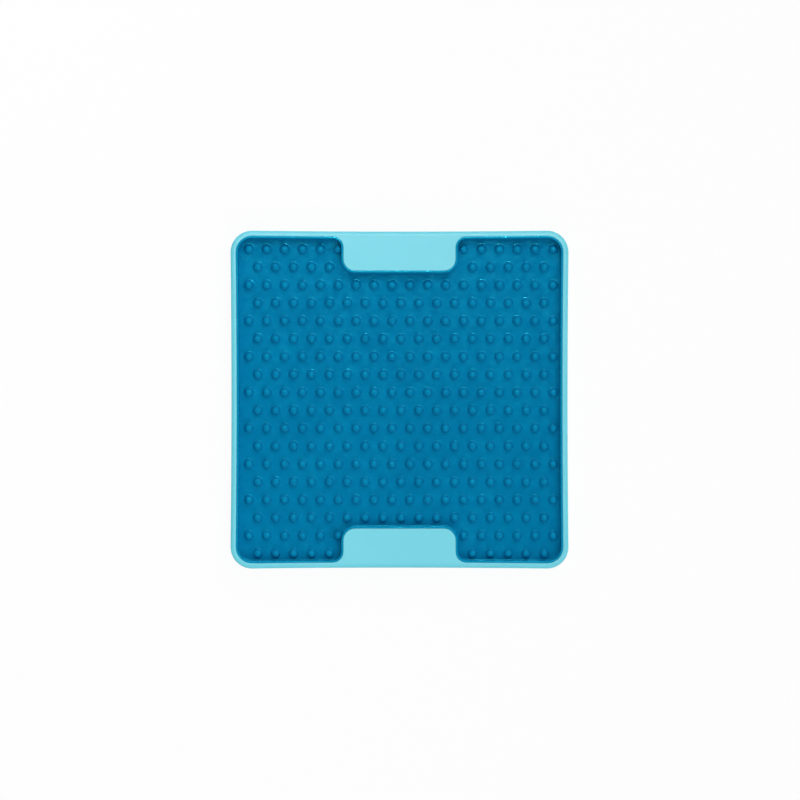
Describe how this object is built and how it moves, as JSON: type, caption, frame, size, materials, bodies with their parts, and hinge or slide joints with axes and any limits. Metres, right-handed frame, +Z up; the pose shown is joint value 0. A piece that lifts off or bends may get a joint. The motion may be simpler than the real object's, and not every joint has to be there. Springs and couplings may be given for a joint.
{
  "type": "lick mat",
  "caption": "Square framed lick mat: a rigid tray with two rim tabs holds a soft insert with a staggered field of domed nubs, on non-slip feet.",
  "frame": {"origin": "centre of the tray in plan, at the level of the feet's undersides", "axes": "+Z up out of the well, +Y towards the back rim and its tab, +X towards the right-hand rim"},
  "size_m": [0.2, 0.2, 0.013],
  "materials": {
    "tray_plastic": "light turquoise polypropylene, satin moulded surface with a very fine grain",
    "insert_rubber": "dark teal thermoplastic rubber, satin, softly mottled",
    "foot_rubber": "dark teal thermoplastic rubber, matt"
  },
  "bodies": {
    "root": {"tray": "tray_plastic", "lick_insert": "insert_rubber", "foot_front_left": "foot_rubber", "foot_front_right": "foot_rubber", "foot_back_left": "foot_rubber", "foot_back_right": "foot_rubber"}
  },
  "joints": []
}
